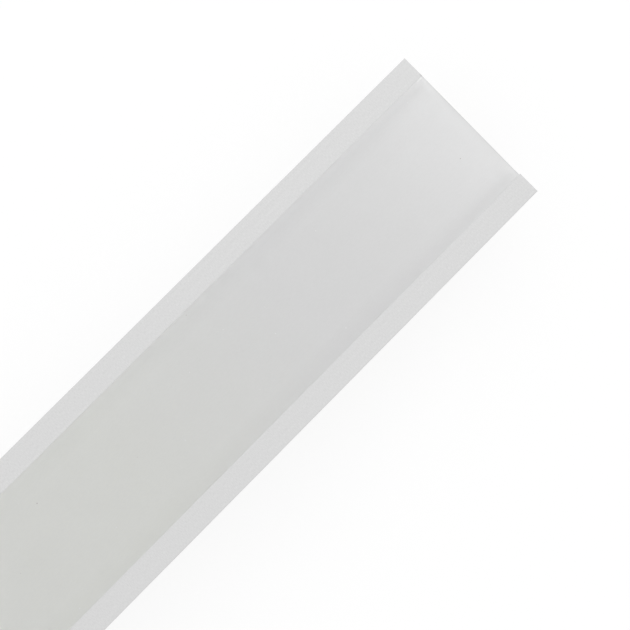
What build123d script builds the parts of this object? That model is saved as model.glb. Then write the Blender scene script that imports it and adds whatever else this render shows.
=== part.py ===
from build123d import *
import os

# Recessed aluminium profile for LED strips, lying on its back with its light face up.
# It is an extruded channel with a flange along each side of its mouth, an opal cover that
# snaps under two lips and can be slid out at either end, and two LED strips on its web.
# X runs along the profile, Y across it, and Z from the back to the light face.
# The origin is at the middle of the length and of the width, in the plane of the back.
# All sizes are in millimetres.

# Channel: overall form
profile_length = 1000.0
overall_width = 65.0
overall_height = 35.0
mouth_width = 48.0
wall = 1.4
flange_thickness = 1.6

# Channel: web that carries the strips, with low ribs that keep them straight and a guide
# groove for drilling between them
web_underside = 8.0
web_thickness = 1.6
rib_width = 0.6
rib_height = 0.5
guide_groove_width = 1.2
guide_groove_depth = 0.4

# Channel: slotted back, whose slot takes clips and hangers
back_thickness = 1.4
back_slot_width = 22.0
back_bead = 1.2

# Channel: lips that hold the cover
lip_reach = 2.2
lip_thickness = 1.2

# Channel: groove for spring clips along each outer wall
groove_middle = 21.0
groove_width = 4.0
groove_depth = 1.0

# Channel: ports for the self-tapping screws of an end plate
port_radius = 1.25
port_wall = 1.1
port_slot = 1.3
port_slot_angle = -135.0
port_merge = 0.4

# Channel: edge radii
front_edge_radius = 0.2
corner_radius = 0.4
root_radius = 0.6

# Cover, which fills the mouth from edge to edge without a gap that shows
cover_thickness = 1.6
cover_setback = 0.1
cover_side_gap = 0.02
cover_fit = 0.1
leg_thickness = 1.2
leg_depth = 5.6
leg_gap = 0.3
hook_catch = 0.5
hook_nose = 0.3
hook_height = 3.4
leg_edge_radius = 0.3
leg_root_radius = 0.5
cover_end_skew = 0.5

# LED strips
strip_spacing = 18.0
strip_width = 10.0
strip_side_gap = 0.4
tape_thickness = 0.15
board_thickness = 0.2
segment_length = 50.0
strip_end_margin = 20.0
leds_per_segment = 3
led_length = 3.5
led_width = 2.8
led_height = 0.7
window_length = 2.7
window_width = 2.0
window_depth = 0.3
window_fill = 0.25
lead_length = 0.3
lead_width = 2.2
lead_height = 0.25
resistor_length = 3.2
resistor_width = 1.6
resistor_height = 0.55
end_cap_length = 0.5
end_cap_height = 0.6
pad_length = 3.6
pad_width = 2.2
pad_thickness = 0.05
pad_spacing = 5.0

# Planes and faces that the pieces share
half_width = overall_width / 2
half_mouth = mouth_width / 2
half_body = half_mouth + wall
flange_underside = overall_height - flange_thickness
web_top = web_underside + web_thickness
cover_top = overall_height - cover_setback
cover_underside = cover_top - cover_thickness
lip_top = cover_underside - cover_fit
lip_underside = lip_top - lip_thickness
lip_tip = half_mouth - lip_reach
leg_outside = lip_tip - leg_gap
leg_inside = leg_outside - leg_thickness
board_top = web_top + tape_thickness + board_thickness
segment_count = int((profile_length - 2 * strip_end_margin) // segment_length)
strip_length = segment_length * segment_count


def bar(y_low, y_high, z_low, z_high):
    """A rectangle of the cross-section between two sides and two heights."""
    middle = Pos((y_low + y_high) / 2, (z_low + z_high) / 2)
    return middle * Rectangle(y_high - y_low, z_high - z_low)


def rounded(section, radius, *corners):
    """The section with the corners nearest to the given points rounded."""
    found = [section.vertices().sort_by_distance((y, z, 0))[0] for y, z in corners]
    return fillet(found, radius)


def mirrored(half):
    """A whole cross-section from its half at positive Y."""
    return half + mirror(half, about=Plane.YZ)


def extruded(section, length):
    """A cross-section carried along X, half of the length each way."""
    return extrude(Plane.YZ * section, amount=length / 2, both=True)


def side_wall():
    """Half section of the wall, which steps inwards behind the spring clip groove."""
    groove_low = groove_middle - groove_width / 2
    groove_high = groove_middle + groove_width / 2
    inner = half_mouth - groove_depth
    step = Polygon(
        (half_mouth, groove_low - wall - groove_depth),
        (half_mouth, groove_high + wall + groove_depth),
        (inner, groove_high + wall),
        (inner, groove_low - wall),
        align=None,
    )
    upright = bar(half_mouth, half_body, 0, flange_underside)
    groove = bar(half_body - groove_depth, half_body, groove_low, groove_high)
    return upright + step - groove


def screw_port():
    """Half section of a corner screw port: its metal, and the core with its open slot."""
    radius = port_radius + port_wall
    y = half_mouth - radius + port_merge
    z = web_underside - radius + port_merge
    metal = Pos(y, z) * Circle(radius) + bar(y, half_mouth, z, web_underside)
    cut = Pos(radius / 2, 0) * Rectangle(radius + port_merge, port_slot)
    slot = Rot(0, 0, port_slot_angle) * cut
    return metal, Pos(y, z) * (Circle(port_radius) + slot)


def strip_ribs():
    """Half section of the two low ribs beside a strip."""
    reach = strip_width / 2 + strip_side_gap
    inner = strip_spacing / 2 - reach - rib_width
    outer = strip_spacing / 2 + reach
    ribs = [bar(y, y + rib_width, web_top, web_top + rib_height) for y in (inner, outer)]
    return ribs[0] + ribs[1]


def guide_groove():
    """Half section of the groove that centres a drill on the web."""
    return Polygon(
        (0, web_top),
        (guide_groove_width / 2, web_top),
        (0, web_top - guide_groove_depth),
        align=None,
    )


def channel_section():
    """The extrusion's cross-section."""
    slot_edge = back_slot_width / 2
    bead_top = back_thickness + back_bead
    port_metal, port = screw_port()
    flange = bar(half_mouth, half_width, flange_underside, overall_height)
    lip = bar(lip_tip, half_mouth, lip_underside, lip_top)
    web = bar(0, half_mouth, web_underside, web_top) - guide_groove()
    back = bar(slot_edge, half_body, 0, back_thickness)
    bead = bar(slot_edge, slot_edge + back_bead, back_thickness, bead_top)
    half = flange + side_wall() + lip + web + strip_ribs() + back + bead + port_metal - port
    half = rounded(
        half, front_edge_radius, (half_width, overall_height), (half_width, flange_underside)
    )
    half = rounded(
        half,
        corner_radius,
        (lip_tip, lip_top),
        (half_body, flange_underside),
        (half_body, 0),
        (slot_edge, 0),
        (slot_edge, bead_top),
    )
    half = rounded(half, root_radius, (half_mouth, web_top), (half_mouth, back_thickness))
    return mirrored(half)


def cover_section():
    """The cover's cross-section: a plate with two legs that hook under the lips."""
    edge = half_mouth - cover_side_gap
    leg_end = cover_underside - leg_depth
    hook_top = lip_underside - cover_fit
    hook_tip = lip_tip + hook_catch
    plate = bar(0, edge, cover_underside, cover_top)
    leg = bar(leg_inside, leg_outside, leg_end, cover_underside)
    hook = Polygon(
        (leg_outside, hook_top),
        (leg_outside, hook_top - hook_height),
        (hook_tip, hook_top - hook_nose),
        (hook_tip, hook_top),
        align=None,
    )
    half = plate + leg + hook
    half = rounded(half, leg_edge_radius, (leg_inside, leg_end))
    half = rounded(half, leg_root_radius, (leg_inside, cover_underside))
    return mirrored(half)


def cover():
    """The cover, whose saw cut at the +X end is a little out of square."""
    edge = half_mouth - cover_side_gap
    cut = Plane(
        origin=(profile_length / 2, edge, 0), z_dir=(2 * edge, -cover_end_skew, 0)
    )
    return split(extruded(cover_section(), profile_length), bisect_by=cut, keep=Keep.BOTTOM)


def plate_on(height, length, width, thickness):
    """A flat piece centred on X and Y, whose underside is at the given height."""
    on_seat = (Align.CENTER, Align.CENTER, Align.MIN)
    return Pos(0, 0, height) * Box(length, width, thickness, align=on_seat)


def placed(piece, places):
    """Copies of one piece at several places along a strip, as separate solids."""
    return Compound([Pos(x, y, 0) * piece for x, y in places])


def led_body():
    """A white LED package with the well of its window."""
    body = plate_on(board_top, led_length, led_width, led_height)
    well_floor = board_top + led_height - window_depth
    return body - plate_on(well_floor, window_length, window_width, window_depth)


def led_terminals(places):
    """Two tinned leads to each package, one against each of its ends."""
    lead = plate_on(board_top, lead_length, lead_width, lead_height)
    reach = (led_length + lead_length) / 2
    return placed(lead, [(x + side, y) for x, y in places for side in (-reach, reach)])


def resistor_body():
    """The part of a chip resistor between its end caps, lying across the strip."""
    return plate_on(
        board_top, resistor_width, resistor_length - 2 * end_cap_length, resistor_height
    )


def resistor_terminals(places):
    """Two tinned end caps to each resistor."""
    cap = plate_on(board_top, resistor_width, end_cap_length, end_cap_height)
    reach = (resistor_length - end_cap_length) / 2
    return placed(cap, [(x, y + side) for x, y in places for side in (-reach, reach)])


def solder_pads():
    """Pads across every cutting line of a strip, and half pads at its two ends."""
    end_pad = plate_on(board_top, pad_length / 2, pad_width, pad_thickness)
    cut_pad = plate_on(board_top, pad_length, pad_width, pad_thickness)
    end_x = strip_length / 2 - pad_length / 4
    sides = (-pad_spacing / 2, pad_spacing / 2)
    pads = [Pos(x, y, 0) * end_pad for x in (-end_x, end_x) for y in sides]
    for line in range(1, segment_count):
        x = line * segment_length - strip_length / 2
        pads += [Pos(x, y, 0) * cut_pad for y in sides]
    return Compound(pads)


def led_strip():
    """The pieces of one strip, centred on Y, by name."""
    pitch = segment_length / leds_per_segment
    starts = [n * segment_length - strip_length / 2 for n in range(segment_count)]
    led_places = [(s + (n + 0.5) * pitch, 0) for s in starts for n in range(leds_per_segment)]
    resistor_places = [(s + pitch, 0) for s in starts]
    window_floor = board_top + led_height - window_depth
    window = plate_on(window_floor, window_length, window_width, window_fill)
    tape = plate_on(web_top, strip_length, strip_width, tape_thickness)
    board = plate_on(web_top + tape_thickness, strip_length, strip_width, board_thickness)
    return {
        "adhesive_tape": tape,
        "led_board": board,
        "led_bodies": placed(led_body(), led_places),
        "led_windows": placed(window, led_places),
        "led_terminals": led_terminals(led_places),
        "resistors": placed(resistor_body(), resistor_places),
        "resistor_terminals": resistor_terminals(resistor_places),
        "solder_pads": solder_pads(),
    }


def main():
    os.makedirs("parts", exist_ok=True)
    pieces = {"channel": extruded(channel_section(), profile_length), "cover": cover()}
    for side, y in (("left", strip_spacing / 2), ("right", -strip_spacing / 2)):
        for name, piece in led_strip().items():
            pieces[f"{name}_{side}"] = Pos(0, y, 0) * piece
    for name, piece in pieces.items():
        export_step(piece, f"parts/{name}.step")
        print(name, round(piece.volume, 1))


main()
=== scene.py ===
# Recessed LED strip profile: finishes, strip details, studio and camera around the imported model.
import math

import bpy
import numpy as np
from mathutils import Matrix, Vector


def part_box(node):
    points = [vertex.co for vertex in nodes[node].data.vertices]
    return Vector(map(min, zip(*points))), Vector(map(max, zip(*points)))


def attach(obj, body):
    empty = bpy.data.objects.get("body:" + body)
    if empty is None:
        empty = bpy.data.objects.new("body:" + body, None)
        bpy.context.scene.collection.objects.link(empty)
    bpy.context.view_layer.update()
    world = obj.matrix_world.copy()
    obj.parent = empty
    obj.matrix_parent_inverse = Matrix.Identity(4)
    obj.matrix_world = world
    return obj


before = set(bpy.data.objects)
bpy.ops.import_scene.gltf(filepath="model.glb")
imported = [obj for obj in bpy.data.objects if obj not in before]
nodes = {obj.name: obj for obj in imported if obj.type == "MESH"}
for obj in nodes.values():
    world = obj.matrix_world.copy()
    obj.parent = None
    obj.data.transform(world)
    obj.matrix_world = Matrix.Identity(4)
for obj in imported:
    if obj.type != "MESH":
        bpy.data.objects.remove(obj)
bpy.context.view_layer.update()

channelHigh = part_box("channel")[1]
coverLow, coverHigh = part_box("cover")
white = (1.0, 1.0, 1.0, 1.0)
black = (0.0, 0.0, 0.0, 1.0)
print("stage: frame loaded,", len(nodes), "nodes")


# helpers for meshes and materials
def colour(level, warm=0.0):
    # linear colour of a grey that shows as level (0-255), warm by so many levels
    grey = [max(level + shift, 0.0) / 255.0 for shift in (warm, 0.0, -warm)]
    return [((c + 0.055) / 1.055) ** 2.4 if c > 0.04045 else c / 12.92 for c in grey] + [1.0]


def fill(tree, socket, value):
    # links a socket to another one, or gives it a plain value
    if isinstance(value, bpy.types.NodeSocket):
        tree.links.new(value, socket)
    else:
        socket.default_value = value


def wire(tree, node, **inputs):
    # fills a node's inputs by name, with _ for a space, or by number as n0, n1 and so on
    for name, value in inputs.items():
        numbered = name[0] == "n" and name[1:].isdigit()
        fill(tree, node.inputs[int(name[1:]) if numbered else name.replace("_", " ")], value)
    return node


def newNode(tree, kind, operation=None, **inputs):
    # a new shader node with its inputs filled, set to an operation where its kind has several
    node = tree.nodes.new("ShaderNode" + kind)
    if operation:
        node.operation = operation
    return wire(tree, node, **inputs)


def newMaterial(name):
    # a material that holds only a Principled shader, and its node tree
    material = bpy.data.materials.new(name)
    material.use_nodes = True
    tree = material.node_tree
    tree.nodes.clear()
    shader = newNode(tree, "BsdfPrincipled")
    newNode(tree, "OutputMaterial", Surface=shader.outputs["BSDF"])
    return material, tree, shader


def maths(tree, operation, a, b=0.0, c=0.0, clamp=False):
    # one Math node's value
    node = newNode(tree, "Math", operation, n0=a, n1=b, n2=c)
    node.use_clamp = clamp
    return node.outputs[0]


def product(tree, first, *others):
    # several values multiplied
    for other in others:
        first = maths(tree, "MULTIPLY", first, other)
    return first


def mixColour(tree, factor, a, b):
    # one Mix node's colour, from a at 0 to b at 1
    node = newNode(tree, "Mix")
    node.data_type = "RGBA"
    for number, value in ((0, factor), (6, a), (7, b)):
        fill(tree, node.inputs[number], value)
    return node.outputs[2]


def newGroup(name, inputs, outputs):
    # a shader node group with named float inputs and outputs
    group = bpy.data.node_groups.new(name, "ShaderNodeTree")
    for label, value in inputs.items():
        socket = group.interface.new_socket(label, in_out="INPUT", socket_type="NodeSocketFloat")
        socket.default_value = value
    for label in outputs:
        group.interface.new_socket(label, in_out="OUTPUT", socket_type="NodeSocketFloat")
    return group, group.nodes.new("NodeGroupInput"), group.nodes.new("NodeGroupOutput")


def useGroup(tree, group, **inputs):
    # a group placed in a material, with its inputs filled
    node = newNode(tree, "Group")
    node.node_tree = group
    return wire(tree, node, **inputs)


def useGrain(tree, scale):
    # the grain's value at a scale along each axis
    alongX, alongY, alongZ = scale
    return useGroup(tree, grain, Scale_X=alongX, Scale_Y=alongY, Scale_Z=alongZ).outputs[0]


def bumpy(tree, look, height):
    # the normal of a height, as strong and as deep as a finish says
    return newNode(
        tree, "Bump", Strength=look["bumpStrength"], Distance=look["bumpDepth"], Height=height
    ).outputs[0]


def dress(material, *names):
    # gives one material to nodes of the model
    for name in names:
        node = nodes[name]
        node.data.materials.clear()
        node.data.materials.append(material)


def objectPlace(tree):
    # the separate X, Y and Z of a point in the object's own frame
    place = newNode(tree, "TexCoord").outputs["Object"]
    return newNode(tree, "SeparateXYZ", Vector=place).outputs


def scaled(tree, vector, factor):
    # a colour or vector times a factor
    return newNode(tree, "VectorMath", "SCALE", Vector=vector, Scale=factor).outputs[0]


def fading(tree, distance, reach):
    # 1 where the distance is nought, falling by e over each reach
    return maths(tree, "POWER", math.e, maths(tree, "DIVIDE", distance, -reach), clamp=True)


def within(tree, value, low, high):
    # 1 where a value lies between two others
    above = maths(tree, "GREATER_THAN", value, low)
    return maths(tree, "MULTIPLY", above, maths(tree, "LESS_THAN", value, high))


# shared effects
grainPattern = {
    "scale": 2000.0,         # per metre, until a material gives its own
    "detail": 2.0,
    "roughness": 0.5,
}
sawPattern = {
    "squareness": 0.9,       # how squarely a face has to look along the length to be a cut
    "bladeRadius": 0.15,
    "pitch": 0.0006,         # between one arc of the blade and the next
    "raggedScale": 900.0,
    "raggedDetail": 2.0,
    "raggedShare": 1.6,      # how many arcs the raggedness moves them by
}
speckPattern = {
    "scale": 60.0,           # cells of the net per metre
    "radius": 0.0003,        # of the largest speck
    "smallest": 0.4,         # share of that radius which the smallest has
    "edge": 2.0,             # how steeply a speck rises from its edge
    "share": 0.4,            # of cells with a speck
    "darkShare": 0.35,       # of specks that are dark
}


def grainGroup():
    # fine grain: noise in object space, stretched by its own scale along each axis
    sizes = {"Scale " + axis: grainPattern["scale"] for axis in "XYZ"}
    group, given, out = newGroup("fineGrain", sizes, ["Grain"])
    scale = newNode(group, "CombineXYZ")
    for axis in "XYZ":
        group.links.new(given.outputs["Scale " + axis], scale.inputs[axis])
    place = newNode(group, "TexCoord").outputs["Object"]
    stretch = newNode(group, "VectorMath", "MULTIPLY", n0=place, n1=scale.outputs[0])
    noise = newNode(
        group, "TexNoise", Vector=stretch.outputs[0], Scale=1.0,
        Detail=grainPattern["detail"], Roughness=grainPattern["roughness"],
    )
    group.links.new(noise.outputs["Fac"], out.inputs["Grain"])
    return group


def sawCutGroup():
    # the two ends: a mask of faces that look along the length, and the blade's arcs on them
    pattern = sawPattern
    sizes = {"Blade Radius": pattern["bladeRadius"], "Pitch": pattern["pitch"]}
    group, given, out = newGroup("sawCut", sizes, ["Mask", "Marks"])
    place = newNode(group, "TexCoord")
    facing = newNode(group, "SeparateXYZ", Vector=place.outputs["Normal"]).outputs["X"]
    mask = maths(group, "GREATER_THAN", maths(group, "ABSOLUTE", facing), pattern["squareness"])
    at = newNode(group, "SeparateXYZ", Vector=place.outputs["Object"])
    across = maths(group, "POWER", at.outputs["Y"], 2.0)
    down = maths(group, "SUBTRACT", at.outputs["Z"], given.outputs["Blade Radius"])
    reach = maths(group, "SQRT", maths(group, "ADD", across, maths(group, "POWER", down, 2.0)))
    turns = maths(group, "DIVIDE", reach, given.outputs["Pitch"])
    ragged = newNode(
        group, "TexNoise", Vector=place.outputs["Object"],
        Scale=pattern["raggedScale"], Detail=pattern["raggedDetail"],
    )
    wobble = maths(group, "MULTIPLY_ADD", ragged.outputs["Fac"], pattern["raggedShare"], turns)
    wave = maths(group, "SINE", maths(group, "MULTIPLY", wobble, 2.0 * math.pi))
    group.links.new(mask, out.inputs["Mask"])
    group.links.new(maths(group, "MULTIPLY_ADD", wave, 0.5, 0.5), out.inputs["Marks"])
    return group


def speckGroup():
    # dust and inclusions seen from above: round specks in some cells of a loose net, pale or dark
    pattern = speckPattern
    sizes = {"Scale": pattern["scale"], "Radius": pattern["radius"], "Share": pattern["share"]}
    group, given, out = newGroup("specks", sizes, ["Pale", "Dark"])
    place = newNode(group, "TexCoord").outputs["Object"]
    net = newNode(group, "TexVoronoi")
    net.voronoi_dimensions = "2D"
    wire(group, net, Vector=place, Scale=given.outputs["Scale"])
    chance = newNode(group, "SeparateColor", Color=net.outputs["Color"])
    least = pattern["smallest"]
    size = maths(group, "MULTIPLY_ADD", chance.outputs["Green"], 1.0 - least, least)
    radius = product(group, given.outputs["Radius"], given.outputs["Scale"], size)
    outward = maths(group, "DIVIDE", net.outputs["Distance"], radius)
    near = maths(group, "SUBTRACT", 1.0, outward, clamp=True)
    kept = maths(group, "LESS_THAN", chance.outputs["Red"], given.outputs["Share"])
    speck = product(group, maths(group, "MULTIPLY", near, pattern["edge"], clamp=True), kept)
    pale = maths(group, "GREATER_THAN", chance.outputs["Blue"], pattern["darkShare"])
    dark = maths(group, "SUBTRACT", 1.0, pale)
    group.links.new(product(group, speck, pale), out.inputs["Pale"])
    group.links.new(product(group, speck, dark), out.inputs["Dark"])
    return group


grain = grainGroup()
sawCut = sawCutGroup()
specks = speckGroup()


# channel: satin anodised aluminium with bare saw-cut ends
channelFinish = {
    "level": 213.8,          # grey of the anodised faces
    "cutLevel": 205.0,       # grey of the bare cut ends
    "grainDepth": 0.15,      # share by which the grain lightens and darkens
    "grainScale": (3200.0, 1000.0, 1000.0),
    "drawnScale": (3.0, 2600.0, 2600.0),
    "drawnShare": 0.25,      # how much of the pattern is the drawn lines
    "roughness": 0.46,
    "cutRoughness": 0.34,
    "grainHeight": 0.25,     # height of the grain, where the blade's marks are 1
    "bumpStrength": 0.25,
    "bumpDepth": 0.00004,
    "cornerSpotLevel": 196.0,      # grey of a darker spot at the left corner of the mouth at the open end, and its size
    "cornerSpotAlong": 0.0004,
    "cornerSpotAcross": (0.0239, 0.0249),
    "seatDepth": 0.0018,     # how far down the cover's seat in the mouth reaches
    "seatSlack": 0.0001,     # how far out it reaches past the cover's edge
    "seatGap": 0.0005,       # longest way across the closed gap
    "wallGlow": 160.0,       # grey of the painted glow that the mouth's wall gives back to the plastic
    "wallGlowEnd": 176.0,    # the same at an open end, where more light gets in
    "lipGlowEnd": 135.0,     # grey of what the lips hand back there
    "endReach": 0.04,
    "glowLean": 0.03,        # share by which it is stronger on the left and weaker on the right
}


def paintedSeatGlow(tree):
    # painted glow: light that left the cover at its seat and comes back over the closed gap,
    # emitted by the channel for the cover's diffuse rays only
    look = channelFinish
    place = objectPlace(tree)
    across = maths(tree, "ABSOLUTE", place["Y"])
    high = maths(tree, "GREATER_THAN", place["Z"], coverHigh.z - look["seatDepth"])
    inside = maths(tree, "LESS_THAN", across, coverHigh.y + look["seatSlack"])
    path = newNode(tree, "LightPath")
    near = maths(tree, "LESS_THAN", path.outputs["Ray Length"], look["seatGap"])
    seat = product(tree, high, inside, near, path.outputs["Is Diffuse Ray"])
    wall = maths(tree, "GREATER_THAN", across, coverHigh.y)
    toEnd = maths(tree, "SUBTRACT", channelHigh.x, maths(tree, "ABSOLUTE", place["X"]))
    far = mixColour(tree, wall, black, colour(look["wallGlow"]))
    end = mixColour(tree, wall, colour(look["lipGlowEnd"]), colour(look["wallGlowEnd"]))
    glow = mixColour(tree, fading(tree, toEnd, look["endReach"]), far, end)
    lean = maths(tree, "MULTIPLY_ADD", place["Y"], look["glowLean"] / coverHigh.y, 1.0)
    return mixColour(tree, seat, black, scaled(tree, glow, lean))


def aluminiumMaterial():
    # satin metal with fine grain and drawn lines, its bare cut ends, a darker spot at one corner,
    # and a painted glow at the cover's seat
    look = channelFinish
    material, tree, shader = newMaterial("anodisedAluminium")
    fine = useGrain(tree, look["grainScale"])
    lines = maths(tree, "MULTIPLY", useGrain(tree, look["drawnScale"]), look["drawnShare"])
    both = maths(tree, "MULTIPLY_ADD", fine, 1.0 - look["drawnShare"], lines)
    swing = maths(tree, "MULTIPLY_ADD", both, look["grainDepth"] * 2, 1.0 - look["grainDepth"])
    anodised = scaled(tree, colour(look["level"])[:3], swing)
    ends = useGroup(tree, sawCut)
    cut = ends.outputs["Mask"]
    base = mixColour(tree, cut, anodised, colour(look["cutLevel"]))
    place = objectPlace(tree)
    # a darker spot on the top at the left corner of the mouth, at the open end
    atEnd = maths(tree, "GREATER_THAN", place["X"], channelHigh.x - look["cornerSpotAlong"])
    atTop = maths(tree, "GREATER_THAN", place["Z"], coverHigh.z)
    cornerSpot = product(tree, atEnd, within(tree, place["Y"], *look["cornerSpotAcross"]), atTop)
    base = mixColour(tree, cornerSpot, base, colour(look["cornerSpotLevel"]))
    smoother = look["cutRoughness"] - look["roughness"]
    rough = maths(tree, "MULTIPLY_ADD", cut, smoother, look["roughness"])
    marks = maths(tree, "MULTIPLY", cut, ends.outputs["Marks"])
    height = maths(tree, "MULTIPLY_ADD", both, look["grainHeight"], marks)
    wire(tree, shader, Base_Color=base, Metallic=1.0, Roughness=rough)
    wire(tree, shader, Normal=bumpy(tree, look, height))
    # painted glow at the cover's seat, which only the cover's diffuse rays see
    wire(tree, shader, Emission_Color=paintedSeatGlow(tree), Emission_Strength=1.0)
    material.cycles.emission_sampling = "NONE"
    return material


dress(aluminiumMaterial(), "channel")
print("stage: channel finished")


# cover: matt opal plastic that light passes into
coverFinish = {
    "level": 226.6,          # grey of its face, warm by so many levels
    "warm": -0.2,
    "cutLevel": 202.0,       # grey of its sawn ends
    "farTint": (0.99, 1.005, 0.945),  # painted tint of the light from the yellow strips: times its colour where they lie behind it
    "tintFrom": 0.085,       # how far from an end the tint begins, and over how far it grows
    "tintOver": 0.08,
    "grain": 0.042,          # share by which its grain lightens and darkens
    "grainScale": (700.0, 1800.0, 1800.0),
    "streaks": 0.01,         # the same for the faint streaks along it
    "streakScale": (1.5, 140.0, 10.0),
    "roughness": 0.42,
    "reach": 0.006,          # how far light spreads inside
    "reachByColour": (1.0, 1.0, 1.0),
    "refraction": 1.49,
    "paintedLightLean": 0.015,    # painted light: share by which it is lighter at its left edge, darker at its right
    "endLevel": 209.0,       # grey of an opaque rim on the light face along the cut, painted darker to hold back the light that comes in at the cut end
    "endFade": 0.0011,       # how far from the cut that rim fades
    "rimDepth": 0.00005,     # how far below the light face it reaches
    "endShade": 0.095,       # painted shade: share by which the middle is darker near the ends, then the margins
    "endShadeLip": 0.045,
    "endShadeReach": 0.012,
    "lipShade": 0.05,        # painted shade where the lips lie behind: share by which the margins are darker, from where, and over how far
    "lipFrom": 0.0165,
    "lipOver": 0.005,
    "glintAlong": (0.0006, 0.0028),  # a painted glint at the left corner of the open end, where the cover's edge catches light
    "glintAcross": (0.0234, 0.0239),
    "paleSpeckAndGlint": 240.0,      # greys of the pale specks and of the painted glint, and of the dark specks, which are warmer
    "speckDark": 185.0,
    "speckWarm": 4.0,
    "markHeight": 2.0,       # height of the blade's marks, where the grain is 1
    "bumpStrength": 0.1,
    "bumpDepth": 0.00002,
    "cornerSlack": 0.0001,   # how near its edge a corner lies that counts as on it
}


def coverEnds():
    # X of the left and right corners of its cut at the open end, which is a little out of square
    mesh = nodes["cover"].data
    corners = np.empty(len(mesh.vertices) * 3)
    mesh.vertices.foreach_get("co", corners)
    corners = corners.reshape(-1, 3)
    slack = coverFinish["cornerSlack"]
    left = corners[corners[:, 1] > coverHigh.y - slack, 0].max()
    right = corners[corners[:, 1] < coverLow.y + slack, 0].max()
    return float(left), float(right)


def fromCoverEnd(tree, place):
    # how far a point is from the nearer end of the cover, along its length
    left, right = coverEnds()
    slope = (left - right) / (coverHigh.y - coverLow.y)
    cutAt = maths(tree, "MULTIPLY_ADD", place["Y"], slope, (left + right) / 2)
    plus = maths(tree, "ABSOLUTE", maths(tree, "SUBTRACT", cutAt, place["X"]))
    minus = maths(tree, "ABSOLUTE", maths(tree, "SUBTRACT", place["X"], coverLow.x))
    return maths(tree, "MINIMUM", plus, minus)


def coverShade(tree, place, toEnd, fine):
    # what the cover's colour is multiplied by: grain, streaks, and painted shade that is lighter
    # on the left than the right and darker near the ends and over the lips
    look = coverFinish
    mean = 1.0 - (look["grain"] + look["streaks"]) / 2
    swing = maths(tree, "MULTIPLY_ADD", fine, look["grain"], mean)
    streaks = useGrain(tree, look["streakScale"])
    swing = maths(tree, "MULTIPLY_ADD", streaks, look["streaks"], swing)
    # painted light: lighter on the left, darker on the right
    swing = maths(tree, "MULTIPLY_ADD", place["Y"], look["paintedLightLean"] / coverHigh.y, swing)
    pastLip = maths(tree, "SUBTRACT", maths(tree, "ABSOLUTE", place["Y"]), look["lipFrom"])
    overLip = maths(tree, "DIVIDE", pastLip, look["lipOver"], clamp=True)
    nearEnd = fading(tree, toEnd, look["endShadeReach"])
    lighter = look["endShadeLip"] - look["endShade"]
    shade = maths(tree, "MULTIPLY_ADD", overLip, lighter, look["endShade"])
    swing = maths(tree, "SUBTRACT", swing, maths(tree, "MULTIPLY", shade, nearEnd))
    margin = maths(tree, "MULTIPLY", overLip, maths(tree, "SUBTRACT", 1.0, nearEnd))
    return maths(tree, "MULTIPLY_ADD", margin, -look["lipShade"], swing)


def opalMaterial():
    # plastic that light spreads in, with sawn ends, an opaque rim round them painted darker, a
    # painted glint, specks, and a painted tint from the strips
    look = coverFinish
    material, tree, shader = newMaterial("opalCover")
    place = objectPlace(tree)
    toEnd = fromCoverEnd(tree, place)
    fine = useGrain(tree, look["grainScale"])
    swing = coverShade(tree, place, toEnd, fine)
    ends = useGroup(tree, sawCut)
    onTop = maths(tree, "GREATER_THAN", place["Z"], coverHigh.z - look["rimDepth"])
    # painted shade: the rim along the cut is darker, and no light spreads into it
    shadedRim = maths(tree, "MULTIPLY", fading(tree, toEnd, look["endFade"]), onTop)
    opal = colour(look["level"], look["warm"])
    # painted tint of the light from the yellow strips behind it, growing away from the ends
    tinted = [*(c * tint for c, tint in zip(opal, look["farTint"])), 1.0]
    pastClear = maths(tree, "SUBTRACT", toEnd, look["tintFrom"])
    overStrips = maths(tree, "DIVIDE", pastClear, look["tintOver"], clamp=True)
    opal = mixColour(tree, overStrips, opal, tinted)
    opal = mixColour(tree, shadedRim, opal, colour(look["endLevel"], look["warm"]))
    opal = mixColour(tree, ends.outputs["Mask"], opal, colour(look["cutLevel"], look["warm"]))
    # painted glint at the left corner of the open end
    along = within(tree, toEnd, *look["glintAlong"])
    across = within(tree, place["Y"], *look["glintAcross"])
    glint = product(tree, along, across, maths(tree, "GREATER_THAN", place["X"], 0.0))
    opal = mixColour(tree, glint, opal, colour(look["paleSpeckAndGlint"]))
    dust = useGroup(tree, specks)
    opal = mixColour(tree, dust.outputs["Pale"], opal, colour(look["paleSpeckAndGlint"]))
    dark = colour(look["speckDark"], look["speckWarm"])
    opal = mixColour(tree, dust.outputs["Dark"], opal, dark)
    marks = maths(tree, "MULTIPLY", ends.outputs["Mask"], ends.outputs["Marks"])
    height = maths(tree, "MULTIPLY_ADD", marks, look["markHeight"], fine)
    wire(tree, shader, Base_Color=scaled(tree, opal, swing), Roughness=look["roughness"])
    wire(tree, shader, Normal=bumpy(tree, look, height), IOR=look["refraction"])
    spread = maths(tree, "SUBTRACT", 1.0, shadedRim)
    wire(tree, shader, Subsurface_Weight=spread, Subsurface_Scale=look["reach"])
    wire(tree, shader, Subsurface_Radius=look["reachByColour"])
    return material


dress(opalMaterial(), "cover")
print("stage: cover finished")


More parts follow.
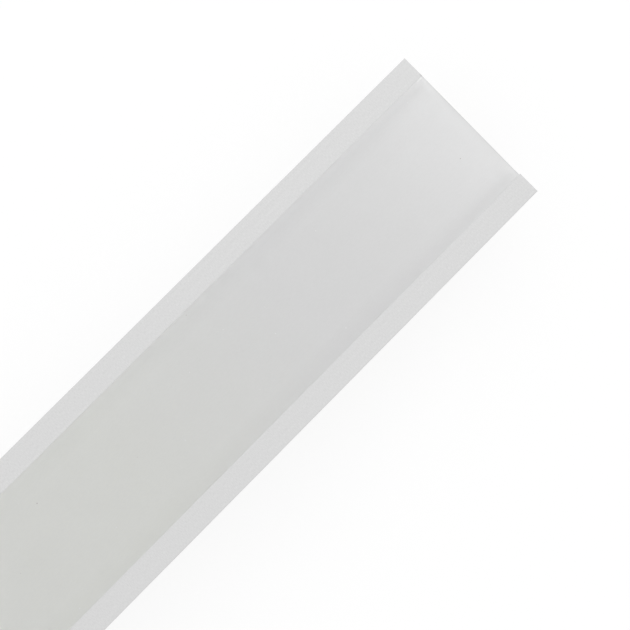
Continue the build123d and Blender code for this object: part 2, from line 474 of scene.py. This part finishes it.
# LED strips: printed boards with packages, chip resistors and solder
boardLow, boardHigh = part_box("led_board_left")
stripLayout = {              # metres, as the model has them
    "middle": (boardLow.y + boardHigh.y) / 2,
    "halfLength": boardHigh.x,
    "segment": 0.05,
    "pitch": 0.05 / 3,
    "leadEnd": 0.00205,      # from a package's middle to the outer end of its lead
    "leadWidth": 0.0022,
    "capEnd": 0.0016,        # from a resistor's middle to the outer face of its cap
    "capWidth": 0.0016,
}
boardFinish = {
    "mask": (0.84, 0.84, 0.82, 1.0),         # white lacquer on bare film
    "overCopper": (0.78, 0.77, 0.73, 1.0),   # the same lacquer where copper lies under it
    "tin": (0.74, 0.72, 0.68, 1.0),
    "cutLine": (0.22, 0.22, 0.22, 1.0),
    "busFrom": 0.0031,       # the two wide conductors: how far from the middle they start and end
    "busTo": 0.0046,
    "linkHalf": 0.0004,      # half of the narrow conductor that links the packages
    "landing": 0.00045,      # how far bare copper reaches past the end of a lead or cap
    "landingSide": 0.0001,   # how far it reaches past its sides
    "cutHalf": 0.0001,       # half of the cutting line's width
    "roughness": 0.34,
    "glossSwing": 0.12,      # how much the grain moves the roughness
    "grainScale": (1400.0, 1400.0, 1400.0),
    "grainDepth": 0.05,      # share by which it lightens and darkens, from darkest to lightest
    "grainHeight": 0.15,     # its height, where the copper's is 1
    "bumpStrength": 0.5,
    "bumpDepth": 0.00003,
}
smallPartFinish = {          # what the mottling does to the gloss and to the surface
    "glossSwing": 0.16,
    "bumpStrength": 0.2,
    "bumpDepth": 0.00002,
}
stripFinish = {              # colour, mottling and its scale, roughness, metallic
    "adhesiveTape": ((0.55, 0.56, 0.58, 1.0), 0.1, 900.0, 0.6, 0.0),
    "ledPackage": ((0.88, 0.88, 0.85, 1.0), 0.03, 2600.0, 0.38, 0.0),
    "phosphor": ((0.84, 0.63, 0.1, 1.0), 0.16, 5200.0, 0.24, 0.0),
    "resistorBody": ((0.028, 0.028, 0.032, 1.0), 0.3, 3800.0, 0.36, 0.0),
    "tinnedCopper": ((0.74, 0.72, 0.68, 1.0), 0.12, 3000.0, 0.28, 1.0),
    "solder": ((0.78, 0.77, 0.75, 1.0), 0.06, 1800.0, 0.22, 1.0),
}
stripPieces = {
    "adhesiveTape": ["adhesive_tape"],
    "ledPackage": ["led_bodies"],
    "phosphor": ["led_windows"],
    "resistorBody": ["resistors"],
    "tinnedCopper": ["solder_pads", "led_terminals", "resistor_terminals"],
}
filletSizes = {
    "leadSolder": (0.0003, 0.0002),   # how far a fillet reaches out, and how high it is
    "capSolder": (0.0003, 0.0004),
    "steps": 5,              # points along its hollow curve
    "sunk": 0.000005,        # how far it is let into the board
}


def smallPartMaterial(name, base, mottle, scale, rough, metallic):
    # one colour with a fine mottling that also moves its gloss and its surface a little
    material, tree, shader = newMaterial(name)
    look = smallPartFinish
    fine = useGrain(tree, (scale, scale, scale))
    swing = maths(tree, "MULTIPLY_ADD", fine, mottle * 2, 1.0 - mottle)
    gloss = look["glossSwing"]
    rougher = maths(tree, "MULTIPLY_ADD", fine, gloss, rough - gloss / 2)
    wire(tree, shader, Base_Color=scaled(tree, base[:3], swing), Roughness=rougher)
    wire(tree, shader, Metallic=metallic, Normal=bumpy(tree, look, fine))
    return material


def landing(tree, outFrom, end, across, width):
    # 1 on the bare copper under a lead or cap: round its end, and as wide as it is
    reach = boardFinish["landing"]
    beside = maths(tree, "LESS_THAN", across, width / 2 + boardFinish["landingSide"])
    return maths(tree, "MULTIPLY", within(tree, outFrom, end - reach, end + reach), beside)


def boardMaterial():
    # white lacquer over copper conductors, bare tinned landings, lines where a strip may be cut
    look, layout = boardFinish, stripLayout
    material, tree, shader = newMaterial("printedBoard")
    place = objectPlace(tree)
    across = maths(tree, "SUBTRACT", maths(tree, "ABSOLUTE", place["Y"]), layout["middle"])
    across = maths(tree, "ABSOLUTE", across)
    along = maths(tree, "ADD", place["X"], layout["halfLength"])
    inPitch = maths(tree, "MODULO", along, layout["pitch"])
    fromLed = maths(tree, "ABSOLUTE", maths(tree, "SUBTRACT", inPitch, layout["pitch"] / 2))
    inSegment = maths(tree, "MODULO", along, layout["segment"])
    fromResistor = maths(tree, "ABSOLUTE", maths(tree, "SUBTRACT", inSegment, layout["pitch"]))
    fromCut = maths(tree, "PINGPONG", along, layout["segment"] / 2)
    bus = within(tree, across, look["busFrom"], look["busTo"])
    link = maths(tree, "LESS_THAN", across, look["linkHalf"])
    copper = maths(tree, "MAXIMUM", bus, link)
    base = mixColour(tree, copper, look["mask"], look["overCopper"])
    cut = maths(tree, "LESS_THAN", fromCut, look["cutHalf"])
    base = mixColour(tree, cut, base, look["cutLine"])
    leads = landing(tree, fromLed, layout["leadEnd"], across, layout["leadWidth"])
    caps = landing(tree, across, layout["capEnd"], fromResistor, layout["capWidth"])
    bare = maths(tree, "MAXIMUM", leads, caps)
    base = mixColour(tree, bare, base, look["tin"])
    fine = useGrain(tree, look["grainScale"])
    depth, gloss = look["grainDepth"], look["glossSwing"]
    swing = maths(tree, "MULTIPLY_ADD", fine, depth, 1.0 - depth / 2)
    rough = maths(tree, "MULTIPLY_ADD", fine, gloss, look["roughness"] - gloss / 2)
    raised = maths(tree, "MAXIMUM", copper, bare)
    height = maths(tree, "MULTIPLY_ADD", fine, look["grainHeight"], raised)
    wire(tree, shader, Base_Color=scaled(tree, base, swing), Roughness=rough)
    wire(tree, shader, Metallic=bare, Normal=bumpy(tree, look, height))
    return material


def makeFillets(name, feet, outwards, width, size, finish):
    # solder at the foot of each lead or cap: at a share u of its reach outwards, its height is
    # height * (1 - sqrt(1 - (1 - u)^2)), a hollow quarter round, the same all across its width
    reach, height = size
    steps = filletSizes["steps"]
    u = np.linspace(0.0, 1.0, steps)
    top = height * (1.0 - np.sqrt(1.0 - (1.0 - u) ** 2))
    under = np.full(steps, -filletSizes["sunk"])
    profile = np.stack([np.stack([u * reach, z], -1) for z in (top, under)])
    sides = np.array([-width / 2, width / 2])
    sideways = np.stack([-outwards[:, 1], outwards[:, 0]], -1)
    count = len(feet)
    points = np.empty((count, 2, steps, 2, 3))   # piece, top or underside, step outwards, side
    reachOut = outwards[:, None, None, None, :] * profile[None, :, :, None, :1]
    reachAside = sideways[:, None, None, None, :] * sides[:, None]
    points[..., :2] = feet[:, None, None, None, :2] + reachOut + reachAside
    points[..., 2] = boardHigh.z + profile[None, :, :, None, 1]
    upper, lower = np.arange(4 * steps).reshape(2, steps, 2)
    quads = np.concatenate([
        np.stack([upper[:-1, 0], upper[1:, 0], upper[1:, 1], upper[:-1, 1]], -1),
        np.stack([lower[:-1, 1], lower[1:, 1], lower[1:, 0], lower[:-1, 0]], -1),
        np.stack([upper[:-1, 1], upper[1:, 1], lower[1:, 1], lower[:-1, 1]], -1),
        np.stack([lower[:-1, 0], lower[1:, 0], upper[1:, 0], upper[:-1, 0]], -1),
        np.array([[lower[-1, 0], lower[-1, 1], upper[-1, 1], upper[-1, 0]]]),
        np.array([[lower[0, 0], upper[0, 0], upper[0, 1], lower[0, 1]]]),
    ])
    faces = (quads[None] + np.arange(count)[:, None, None] * 4 * steps).reshape(-1, 4)
    mesh = bpy.data.meshes.new(name)
    mesh.from_pydata(points.reshape(-1, 3).tolist(), [], faces.tolist())
    mesh.materials.append(finish)
    piece = bpy.data.objects.new(name, mesh)
    bpy.context.scene.collection.objects.link(piece)
    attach(piece, "channel")


def placesAlong(first, step, y):
    # X and Y of what is repeated along a strip, and of nothing past its end
    x = np.arange(first, stripLayout["halfLength"], step)
    return np.stack([x, np.full(len(x), y)], -1)


def footings(places, way, reach):
    # the foot of each piece's two ends and the way that they look, with way along X or Y
    way = np.array(way)
    feet = np.concatenate([places - way * reach, places + way * reach])
    outwards = np.repeat([-way, way], len(places), axis=0)
    return feet, outwards


for name, kinds in stripPieces.items():
    finish = smallPartMaterial(name, *stripFinish[name])
    dress(finish, *(kind + side for kind in kinds for side in ("_left", "_right")))
dress(boardMaterial(), "led_board_left", "led_board_right")
solder = smallPartMaterial("solder", *stripFinish["solder"])
layout = stripLayout
for side, y in (("left", layout["middle"]), ("right", -layout["middle"])):
    leds = placesAlong(layout["pitch"] / 2 - layout["halfLength"], layout["pitch"], y)
    feet, outwards = footings(leds, (1.0, 0.0), layout["leadEnd"])
    size = filletSizes["leadSolder"]
    makeFillets("lead_solder_" + side, feet, outwards, layout["leadWidth"], size, solder)
    resistors = placesAlong(layout["pitch"] - layout["halfLength"], layout["segment"], y)
    feet, outwards = footings(resistors, (0.0, 1.0), layout["capEnd"])
    size = filletSizes["capSolder"]
    makeFillets("cap_solder_" + side, feet, outwards, layout["capWidth"], size, solder)
print("stage: strips finished, with their solder")


# studio
studio = {
    "floorSide": 16.0,       # and how many squares it has along a side
    "floorSquares": 8,
    "floorLift": 0.85,       # share of the floor that the camera sees as plain white
    "glossLift": 0.35,       # share of plain white that reflections see
    "zenith": 1.1,           # strength of the dome straight up
    "horizon": 0.47,         # strength of the dome at the horizon
    "sideways": 0.18,        # how much stronger the dome is on its bright side
    "brightSide": (0.3, 0.62, 0.31),
}
softboxes = {                # side and power of each lamp, its place and what it looks at
    "softbox": (2.4, 6.5, (2.0, 1.9, 1.9), (0.35, 0.0, 0.0)),
    "endSoftbox": (0.6, 12.0, (1.9, 0.35, 0.2), (0.5, 0.0, 0.02)),
}


def whiteForView(tree, cameraLift, otherLift):
    # a factor for camera rays, another for glossy and transmission rays, nought for the rest
    path = newNode(tree, "LightPath").outputs
    other = maths(tree, "ADD", path["Is Glossy Ray"], path["Is Transmission Ray"], clamp=True)
    other = maths(tree, "MULTIPLY", other, otherLift)
    return maths(tree, "MULTIPLY_ADD", path["Is Camera Ray"], cameraLift, other, clamp=True)


def makeFloor():
    # a flat grid in the plane of the back, seen as white with the object's soft shadow
    half, squares = studio["floorSide"] / 2, studio["floorSquares"]
    steps = np.linspace(-half, half, squares + 1)
    x, y = np.meshgrid(steps, steps, indexing="ij")
    points = np.stack([x, y, np.zeros_like(x)], -1).reshape(-1, 3)
    i, j = np.meshgrid(np.arange(squares), np.arange(squares), indexing="ij")
    first = (i * (squares + 1) + j).ravel()
    beyond = first + squares + 1
    quads = np.stack([first, beyond, beyond + 1, first + 1], -1)
    mesh = bpy.data.meshes.new("floor")
    mesh.from_pydata(points.tolist(), [], quads.tolist())
    floor = bpy.data.objects.new("floor", mesh)
    bpy.context.scene.collection.objects.link(floor)
    material, tree, shader = newMaterial("paleFloor")
    wire(tree, shader, Base_Color=white, Roughness=1.0, Specular_IOR_Level=0.0)
    glow = newNode(tree, "Emission", Color=white, Strength=1.0)
    seen = whiteForView(tree, studio["floorLift"], studio["glossLift"])
    blend = newNode(tree, "MixShader", n0=seen, n1=shader.outputs[0], n2=glow.outputs[0])
    output = next(node for node in tree.nodes if node.type == "OUTPUT_MATERIAL")
    wire(tree, output, Surface=blend.outputs[0])
    mesh.materials.append(material)


def makeWorld():
    # a white dome, strongest overhead and on one side; the camera sees plain white
    world = bpy.data.worlds.new("studio")
    bpy.context.scene.world = world
    world.use_nodes = True
    tree = world.node_tree
    tree.nodes.clear()
    way = newNode(tree, "TexCoord").outputs["Generated"]
    height = newNode(tree, "SeparateXYZ", Vector=way).outputs["Z"]
    height = maths(tree, "MAXIMUM", height, 0.0)
    lean = newNode(tree, "VectorMath", "DOT_PRODUCT", n0=way, n1=studio["brightSide"])
    overhead = studio["zenith"] - studio["horizon"]
    level = maths(tree, "MULTIPLY_ADD", height, overhead, studio["horizon"])
    level = maths(tree, "MULTIPLY_ADD", lean.outputs["Value"], studio["sideways"], level)
    dome = newNode(tree, "Background", Color=white, Strength=level)
    plain = newNode(tree, "Background", Color=white, Strength=1.0)
    seen = whiteForView(tree, 1.0, studio["glossLift"])
    blend = newNode(tree, "MixShader", n0=seen, n1=dome.outputs[0], n2=plain.outputs[0])
    newNode(tree, "OutputWorld", Surface=blend.outputs[0])


def makeSoftbox(name, side, power, place, aim):
    # a square lamp turned towards a point
    lamp = bpy.data.lights.new(name, "AREA")
    lamp.shape = "SQUARE"
    lamp.size = side
    lamp.energy = power
    holder = bpy.data.objects.new(name, lamp)
    holder.location = place
    holder.rotation_mode = "QUATERNION"
    holder.rotation_quaternion = (Vector(aim) - Vector(place)).to_track_quat("-Z", "Y")
    bpy.context.scene.collection.objects.link(holder)


makeFloor()
makeWorld()
for name, values in softboxes.items():
    makeSoftbox(name, *values)
print("stage: studio done")


# camera: nearly straight down on the light face, with the open end at the upper right
cameraView = {
    "lookAt": (0.41498, -0.00816),    # X and Y of what is in the middle of the picture
    "distance": 0.47704,
    "tilt": 4.771,           # degrees off the face's normal, along the length
    "lean": 0.405,           # degrees off it, across
    "turn": 44.863,          # degrees between the length and the image's upright
    "fieldOfView": 25.36,
    "nearest": 0.01,
}


def makeCamera():
    # a camera whose axes are worked out from its tilt, lean and turn over the bar
    tilt, lean, turn = (math.radians(cameraView[key]) for key in ("tilt", "lean", "turn"))
    upwards = math.cos(tilt)
    back = Vector((-math.sin(tilt), math.sin(lean) * upwards, math.cos(lean) * upwards))
    back.normalize()
    along = Vector((1.0, 0.0, 0.0))
    along = (along - back * along.dot(back)).normalized()
    side = along.cross(back)
    upright = along * math.cos(turn) - side * math.sin(turn)
    right = along * math.sin(turn) + side * math.cos(turn)
    place = Vector((*cameraView["lookAt"], channelHigh.z)) + back * cameraView["distance"]
    camera = bpy.data.objects.new("camera", bpy.data.cameras.new("camera"))
    camera.data.angle = math.radians(cameraView["fieldOfView"])
    camera.data.clip_start = cameraView["nearest"]
    turned = Matrix((right, upright, back)).transposed().to_4x4()
    camera.matrix_world = Matrix.Translation(place) @ turned
    bpy.context.scene.collection.objects.link(camera)
    bpy.context.scene.camera = camera


makeCamera()
bpy.context.scene.view_settings.view_transform = "Standard"
print("stage: camera done")
